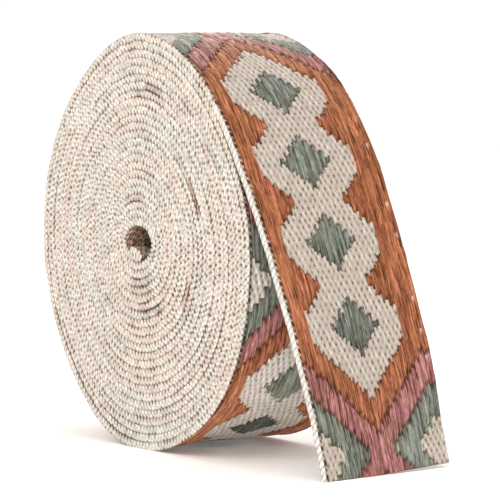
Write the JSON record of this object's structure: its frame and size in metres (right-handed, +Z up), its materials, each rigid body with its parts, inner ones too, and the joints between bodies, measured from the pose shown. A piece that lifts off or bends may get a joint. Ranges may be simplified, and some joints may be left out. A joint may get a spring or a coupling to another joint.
{
  "type": "roll of jacquard webbing",
  "caption": "Flat woven webbing wound edge-on into a roll that stands on its rim, with a patterned loose end hanging to the floor.",
  "frame": {"origin": "middle of the small flat spot on which the roll rests, at the middle of the webbing's width", "axes": "+Z up; +Y along the roll's axis, across the webbing's width; +X towards the side where the loose end hangs"},
  "size_m": [0.1294, 0.0388, 0.1016],
  "materials": {
    "webbing": "woven, cream plain weave with a matte-satin rust, rose and sage diamond figure"
  },
  "bodies": {
    "root": {"roll": "webbing", "loose_end": "webbing"}
  },
  "joints": []
}
